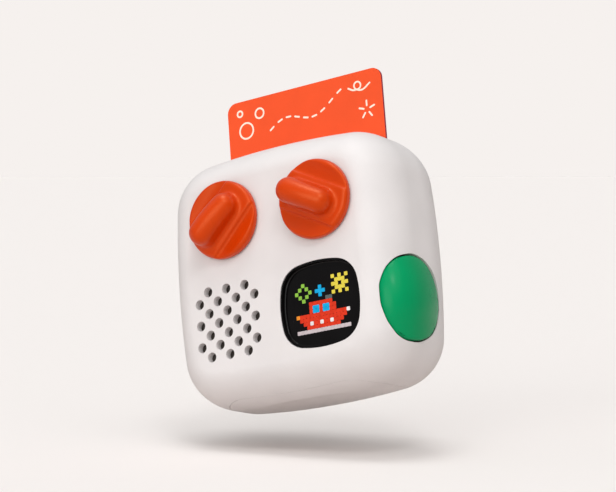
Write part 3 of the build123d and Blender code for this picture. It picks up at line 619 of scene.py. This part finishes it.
def laminate(name, colour):
    """A printed face under a thin clear film."""
    material, tree, shader = finish_base(name, colour, 0.5, Specular_IOR_Level=0.2)
    drift = noise_of(tree, 9.0)
    tinted(tree, drift, darker(colour, 0.97), darker(colour, 1.03), shader.inputs["Base Color"])
    ranged(tree, noise_of(tree, 0.25), 0.46, 0.56, shader.inputs["Roughness"])
    roughened(tree, shader, noise_of(tree, 0.5), 0.002)
    return material


card_orange = laminate("card laminate", paint(241, 85, 40))
card_core = moulded("card core", paint(150, 44, 66), 0.6, grain=0.1, Specular_IOR_Level=0.2)
put_on(card, card_orange, card_core)
for face in card.data.polygons:
    face.material_index = 0 if abs(face.normal.y) > BROADSIDE else 1
print("edge faces:", sum(face.material_index for face in card.data.polygons))

# %% [markdown]
# The print is thin off-white line work: bubbles, dashes that follow a wave or a ring, and small
# bursts. A line printed by screen stands a hair above the face, so each mark is a real film of ink
# and not a pattern in the colour. A dash is one rounded plate, and all other dashes are copies of
# it. A bubble is a disc inset to a ring, and a curl is a curve with a little thickness.

# %% marks of ink
INK_WIDTH = 0.55
INK_DEPTH = 0.03
INK_SUNK = 0.01         # how far the film reaches into the card, so that no gap shows under it
DASH_LENGTH = 2.0
DASH_ROUND = 0.49       # of the width; at a half, the two corners of an end would meet
RING_CORNERS = 48
card_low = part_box("story_card")[0]
INK_FRONT = card_low.y / MM - INK_DEPTH + INK_SUNK


def ring(x, z, radius):
    """A bubble: a disc, inset and emptied, with the thickness of the ink."""
    let_go()
    bpy.ops.mesh.primitive_circle_add(vertices=RING_CORNERS, radius=(radius + INK_WIDTH / 2) * MM,
                                      fill_type="NGON", rotation=(math.radians(90), 0, 0))
    piece = bpy.context.object
    piece.location = (x * MM, INK_FRONT * MM, z * MM)
    bpy.ops.object.mode_set(mode="EDIT")
    bpy.ops.mesh.inset(thickness=INK_WIDTH * MM)
    bpy.ops.mesh.delete(type="FACE")
    bpy.ops.mesh.select_all(action="SELECT")
    bpy.ops.mesh.extrude_region_move(TRANSFORM_OT_translate={"value": (0, INK_DEPTH * MM, 0)})
    bpy.ops.mesh.select_all(action="SELECT")
    bpy.ops.mesh.normals_make_consistent(inside=False)
    bpy.ops.object.mode_set(mode="OBJECT")
    return piece


def curl(points):
    """A line drawn by hand: a smooth curve through points, its ends closed with caps, pressed flat.
    """
    let_go()
    bpy.ops.curve.primitive_bezier_curve_add()
    piece = bpy.context.object
    line = piece.data.splines[0]
    line.bezier_points.add(len(points) - 2)
    for knot, (x, z) in zip(line.bezier_points, points):
        knot.co = (x * MM, 0, z * MM)
        knot.handle_left_type = knot.handle_right_type = "AUTO"
    piece.data.bevel_depth = INK_WIDTH / 2 * MM
    piece.data.bevel_resolution = 2
    piece.data.use_fill_caps = True
    bpy.ops.object.convert(target="MESH")
    piece = bpy.context.object
    piece.scale = (1, INK_DEPTH / INK_WIDTH, 1)
    piece.location = (0, (INK_FRONT + INK_DEPTH / 2) * MM, 0)
    return piece


dash = plate(DASH_LENGTH, INK_WIDTH, INK_WIDTH * DASH_ROUND, 4, INK_DEPTH, "ink_dash")
print("ink front at y", round(INK_FRONT, 3), "mm")

# %% [markdown]
# The layout is loose, so it is given by a few paths and middles rather than mark by mark. A path
# says where it runs for each share of its length, and a dash lies along the line between the spots
# a little before and after it.

# %% dashes in a row and dashes in a burst
STEP = 0.01             # a little before and after, as a share of the path
RING_REACH, RING_HEIGHT = 17, 46


def dashes_along(path, count):
    """Dashes that follow a path, each turned along it. The path gives x and z for 0 to 1."""
    marks = []
    for number in range(count):
        share = (number + 0.5) / count
        (x0, z0), (x1, z1) = path(share - STEP), path(share + STEP)
        x, z = path(share)
        marks.append(copied(dash, x, INK_FRONT, z, -math.degrees(math.atan2(z1 - z0, x1 - x0))))
    return marks


def burst(x, z, rays, start=0.0, reach=1.9):
    """Dashes that leave a middle in all directions."""
    marks = []
    for number in range(rays):
        angle = start + number * 360 / rays
        across, up = math.cos(math.radians(angle)), math.sin(math.radians(angle))
        marks.append(copied(dash, x + reach * across, INK_FRONT, z + reach * up, -angle))
    return marks


def wave(share):
    """Up from the left to the right, near the card's top."""
    return -13 + 27 * share, 83.2 + 6.2 * share + 2.0 * math.sin(7.5 * share)


def great_ring(share):
    """A ring round the card's middle."""
    return (RING_REACH * math.cos(2 * math.pi * share),
            RING_HEIGHT + RING_REACH * math.sin(2 * math.pi * share))


def low_wave(share):
    """From side to side, near the card's foot."""
    return -21 + 42 * share, 20 + 1.6 * math.sin(12 * share)


print("the ring starts at x and z", great_ring(0))

# %% where the marks go
BUBBLES = (    # x, z and radius of each
    (-20.6, 85.6, 2.4), (-15.6, 90.0, 1.5), (-22.6, 91.2, 0.9),
    (0, RING_HEIGHT, 9.0), (-19, 71, 2.0), (18.5, 68, 1.3),
)
CURLS = (
    ((15.5, 90.6), (17.8, 89.6), (19.9, 90.4), (19.0, 91.9), (17.7, 90.9), (19.8, 89.2),
     (23.2, 90.8)),
    ((-12, 76.5), (-8, 74.8), (-4, 76.6), (0, 74.8), (4, 76.6)),
)
marks = dashes_along(wave, 9) + dashes_along(great_ring, 30) + dashes_along(low_wave, 13)
marks += burst(21.5, 83.0, 5, start=18) + burst(0, RING_HEIGHT, 8)
marks += [ring(*bubble) for bubble in BUBBLES] + [curl(points) for points in CURLS]
print_layer = gather(marks, "card_print")
bpy.data.objects.remove(dash)

ink = moulded("off-white ink", paint(253, 232, 214), 0.55, grain=0.12, depth=0.002,
              Specular_IOR_Level=0.2)
put_on(print_layer, ink)
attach(print_layer, "card")
print("ink faces:", len(print_layer.data.polygons))

# %% [markdown]
# ## Parts behind the skins
#
# Most of what makes the player work is out of sight: encoders behind the knobs, boards, the speaker
# and the battery. A cloth shows black through the speaker's holes, and the sockets show in their
# openings. These solids stay as they are. Each still gets the finish of what it is made of, so the
# model holds up when it is opened or seen on its own.

# %% metals


def metal(name, colour, roughness, grain, stretch=(1, 1, 1), depth=0.003):
    """Bare metal: fine marks in the direction it was worked, which break up its shine."""
    material, tree, shader = finish_base(name, colour, roughness, Metallic=1.0)
    marks = noise_of(tree, grain, detail=4.0, stretch=stretch)
    ranged(tree, marks, roughness - 0.08, roughness + 0.1, shader.inputs["Roughness"])
    tinted(tree, noise_of(tree, 5.0), darker(colour, 0.92), darker(colour, 1.04),
           shader.inputs["Base Color"])
    roughened(tree, shader, marks, depth)
    return material


zinc = metal("zinc plated steel", paint(200, 200, 202), 0.34, 0.4)
pressed = metal("pressed steel", paint(212, 213, 214), 0.28, 0.5, stretch=(0.15, 1, 1))
turned = metal("turned aluminium", paint(216, 218, 220), 0.3, 0.3, stretch=(0.1, 3, 0.1))
brass = metal("rolled brass", paint(214, 178, 104), 0.3, 0.4, stretch=(0.2, 1, 1))
magnet_grey = metal("plated magnet", paint(120, 121, 124), 0.42, 0.6, depth=0.006)
pouch = metal("cell pouch", paint(204, 206, 210), 0.4, 2.4, depth=0.05)
print("metals:", zinc.name, pressed.name, turned.name, brass.name)

# %% [markdown]
# A circuit board is green lacquer over copper. The tracks lie under the lacquer as slightly lighter
# lines that run square to each other, which a brick pattern gives: its mortar lines are the tracks.
# A cloth is threads that pass over and under, which two crossed waves give. Foam is open cells.

# %% lacquer, cloth and foam
BRICK = 5.0             # millimetres between two tracks
WAVE_REPEAT = 0.314     # a wave texture of scale 1 repeats after this much


def lacquer(name, colour, track):
    """Lacquer over tracks, which stand up under it."""
    material, tree, shader = finish_base(name, colour, 0.3, Specular_IOR_Level=0.5)
    bricks = tree.nodes.new("ShaderNodeTexBrick")
    bricks.inputs["Scale"].default_value = 1 / (BRICK * MM)
    bricks.inputs["Mortar Size"].default_value = 0.03
    bricks.inputs["Color1"].default_value = colour
    bricks.inputs["Color2"].default_value = darker(colour, 0.9)
    bricks.inputs["Mortar"].default_value = track
    place = tree.nodes.new("ShaderNodeTexCoord")
    turn = tree.nodes.new("ShaderNodeMapping")
    turn.inputs["Rotation"].default_value = (math.radians(90), 0, 0)
    tree.links.new(place.outputs["Object"], turn.inputs["Vector"])
    tree.links.new(turn.outputs["Vector"], bricks.inputs["Vector"])
    tree.links.new(bricks.outputs["Color"], shader.inputs["Base Color"])
    ranged(tree, noise_of(tree, 2.0), 0.24, 0.38, shader.inputs["Roughness"])
    roughened(tree, shader, bricks.outputs["Fac"], 0.02)
    return material


def cloth(name, colour, thread_mm):
    """Threads both ways, with painted shade where one dips under another and painted light where it
    lies on top.
    """
    material, tree, shader = finish_base(name, colour, 0.9, Specular_IOR_Level=0.1)
    threads = []
    for direction in ("X", "Z"):
        wave_node = tree.nodes.new("ShaderNodeTexWave")
        wave_node.bands_direction = direction
        wave_node.inputs["Scale"].default_value = WAVE_REPEAT / (thread_mm * MM)
        threads.append(placed(tree, wave_node).outputs["Fac"])
    weave_relief_and_shade = tree.nodes.new("ShaderNodeMath")
    weave_relief_and_shade.operation = "MULTIPLY"
    for socket, thread in zip(weave_relief_and_shade.inputs, threads):
        tree.links.new(thread, socket)
    # Painted shade and light: the colour runs darker where a thread dips under another and lighter
    # where it lies on top.
    tinted(tree, weave_relief_and_shade.outputs["Value"], darker(colour, 0.4), darker(colour, 1.5),
           shader.inputs["Base Color"], span=(0.1, 0.8))
    roughened(tree, shader, weave_relief_and_shade.outputs["Value"], 0.06)
    return material


def foam(name, colour, cell_mm):
    """Cells with lighter middles and darker walls, also for the grain of pressed powder."""
    material, tree, shader = finish_base(name, colour, 0.95, Specular_IOR_Level=0.1)
    cells = tree.nodes.new("ShaderNodeTexVoronoi")
    cells.inputs["Scale"].default_value = 1 / (cell_mm * MM)
    open_cells = placed(tree, cells).outputs["Distance"]
    tinted(tree, open_cells, darker(colour, 1.3), darker(colour, 0.5), shader.inputs["Base Color"],
           span=(0.1, 0.6))
    roughened(tree, shader, open_cells, 0.1)
    return material


green_lacquer = lacquer("green lacquer", paint(18, 84, 52), paint(44, 120, 78))
black_plastic = moulded("black plastic", paint(26, 26, 28), 0.45, grain=0.25)
natural_plastic = moulded("natural plastic", paint(214, 212, 204), 0.4, grain=0.4)
grille_black = cloth("speaker cloth", paint(74, 68, 64), 0.35)
cone_paper = cloth("cone weave", paint(44, 44, 46), 0.5)
soft_foam = foam("closed foam", paint(52, 52, 54), 0.6)
ferrite = foam("ferrite sheet", paint(40, 38, 38), 0.3)
print("soft and plain:", grille_black.name, soft_foam.name, natural_plastic.name)

# %% [markdown]
# The record names a slot for each solid, which says what it is made of. A table from slots to
# finishes dresses all the solids at once, and a second one holds the two that differ from the rest
# of their slot. Only the material in a solid's slots changes, never its mesh.

# %% every remaining part gets its finish
FINISH_OF_SLOT = {
    "steel": zinc, "encoder": pressed, "shaft": turned, "wiper": brass, "board": green_lacquer,
    "black": black_plastic, "cloth": grille_black, "foam": soft_foam, "magnet": magnet_grey,
    "guide": natural_plastic, "cell": pouch,
}
FINISH_OF_PART = {"speaker_cone": cone_paper, "ferrite_sheet": ferrite}
slot_of = {part["node"]: part["material_slot"] for part in frame["record"]["subparts"]}
dressed = 0
for name, node in frame["nodes"].items():
    slot = slot_of[name]
    if slot not in FINISH_OF_SLOT:
        continue
    for place in node.material_slots:
        place.material = FINISH_OF_PART.get(name, FINISH_OF_SLOT[slot])
    dressed += 1
print("solids with a finish of their own:", dressed)

# %% [markdown]
# ## The studio
#
# The player floats over a pale floor, tipped a little, with a soft shadow under it. Here the player
# stays upright and the studio tips instead: the camera looks up at it from below and the floor
# leans with the camera. Seen through the camera the floor is level.

# %% camera
CAMERA_PLACE = Vector((0.352826, -0.560014, -0.108844))     # metres
CAMERA_TURN = Euler([math.radians(angle) for angle in (103.2226, 4.0199, 33.2385)])
LENS = 137.388                                              # millimetres, a long lens

bpy.ops.object.camera_add(location=CAMERA_PLACE, rotation=CAMERA_TURN)
camera = bpy.context.object
camera.data.lens = LENS
camera.data.clip_start, camera.data.clip_end = 0.01, 100
bpy.context.scene.camera = camera
print("camera looks along", [round(v, 3) for v in CAMERA_TURN.to_matrix() @ Vector((0, 0, -1))])

# %% [markdown]
# The floor is one large sheet of paper. Lit evenly, it comes out in the very colour of the world
# behind it, so no horizon shows. From below it would hide the player, so its lower face is clear to
# the camera. The light that it throws back up is set apart from the colour that the camera sees,
# because a sheet this bright and this large would fill every shadow on the player.

# %% floor
FLOOR_SIZE = 40                             # metres
FLOOR_PITCH = math.radians(1.9)
FLOOR_DROP = 50.0 * MM                      # below the middle of the case
PAPER_SHARE = 0.985                         # evens the lit paper out with the background
FLOOR_BOUNCE = (0.70, 0.63, 0.60, 1.0)      # what the player gets back from the floor
background = paint(246, 241, 238)
paper = darker(background, PAPER_SHARE)

to_world = CAMERA_TURN.to_matrix()
floor_up = to_world @ Vector((0, math.cos(FLOOR_PITCH), math.sin(FLOOR_PITCH)))
case_low, case_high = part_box("front_housing")
heart = Vector((0, 0, (case_low.z + case_high.z) / 2))
bpy.ops.mesh.primitive_plane_add(size=FLOOR_SIZE, location=heart - floor_up * FLOOR_DROP,
                                 rotation=floor_up.to_track_quat("Z", "Y").to_euler())
floor = bpy.context.object
floor.name = "studio_floor"


def floor_finish():
    """Matt pale paper that returns only some of its light. From below the camera looks through."""
    material, tree, shader = finish_base("studio paper", paper, 1.0, Specular_IOR_Level=0.0)
    side = tree.nodes.new("ShaderNodeNewGeometry")
    ray = tree.nodes.new("ShaderNodeLightPath")
    tinted(tree, ray.outputs["Is Camera Ray"], FLOOR_BOUNCE, paper, shader.inputs["Base Color"])
    both = tree.nodes.new("ShaderNodeMath")
    both.operation = "MULTIPLY"
    clear = tree.nodes.new("ShaderNodeBsdfTransparent")
    blend = tree.nodes.new("ShaderNodeMixShader")
    out = tree.nodes["Material Output"]
    tree.links.new(side.outputs["Backfacing"], both.inputs[0])
    tree.links.new(ray.outputs["Is Camera Ray"], both.inputs[1])
    tree.links.new(both.outputs["Value"], blend.inputs["Fac"])
    tree.links.new(shader.outputs["BSDF"], blend.inputs[1])
    tree.links.new(clear.outputs["BSDF"], blend.inputs[2])
    tree.links.new(blend.outputs["Shader"], out.inputs["Surface"])
    return material


put_on(floor, floor_finish())
print("floor leans", round(math.degrees(floor_up.angle(Vector((0, 0, 1)))), 1), "degrees")

# %% [markdown]
# The world is an even glow from everywhere, which fills the shadows. Broad suns stand for the
# studio's soft boxes: one in front and a little to the left, others above. The one overhead throws
# the shadow under the player. The key is narrower, and gives the knobs and the button their soft
# highlights. Where the camera sees the world itself, it sees the plain background.

# %% lights
WORLD_GLOW = 0.36
SUNS = (
    # name, power, width in degrees, where it shines from: right, up and back as the camera sees it
    ("front screen", 1.40, 50, (-0.42, 0.09, 0.90)),
    ("high front", 0.66, 60, (0.12, 0.76, 0.64)),
    ("key", 0.42, 14, (0.10, 0.70, 0.70)),
    ("high left", 0.15, 50, (-0.60, 0.80, 0.00)),
    ("high back", 0.10, 35, (-0.15, 0.85, -0.45)),
    ("overhead", 0.80, 26, (-0.05, 0.99, 0.10)),
)


def studio_world():
    """An even glow for the player, and the plain background for the camera."""
    world = bpy.data.worlds.new("studio")
    bpy.context.scene.world = world
    world.use_nodes = True
    tree = world.node_tree
    glow = tree.nodes["Background"]
    glow.inputs["Color"].default_value = (1.0, 1.0, 1.0, 1.0)
    glow.inputs["Strength"].default_value = WORLD_GLOW
    seen = tree.nodes.new("ShaderNodeBackground")
    seen.inputs["Color"].default_value = background
    seen.inputs["Strength"].default_value = 1.0
    ray = tree.nodes.new("ShaderNodeLightPath")
    blend = tree.nodes.new("ShaderNodeMixShader")
    tree.links.new(ray.outputs["Is Camera Ray"], blend.inputs["Fac"])
    tree.links.new(glow.outputs["Background"], blend.inputs[1])
    tree.links.new(seen.outputs["Background"], blend.inputs[2])
    tree.links.new(blend.outputs["Shader"], tree.nodes["World Output"].inputs["Surface"])


studio_world()
for sun_name, power, width, place in SUNS:
    direction = to_world @ Vector(place).normalized()
    bpy.ops.object.light_add(type="SUN", location=heart + direction,
                             rotation=direction.to_track_quat("Z", "Y").to_euler())
    sun = bpy.context.object
    sun.name = sun_name
    sun.data.energy = power
    sun.data.angle = math.radians(width)
    print(sun_name, "shines from", [round(v, 2) for v in direction])
bpy.context.scene.view_settings.view_transform = "Standard"
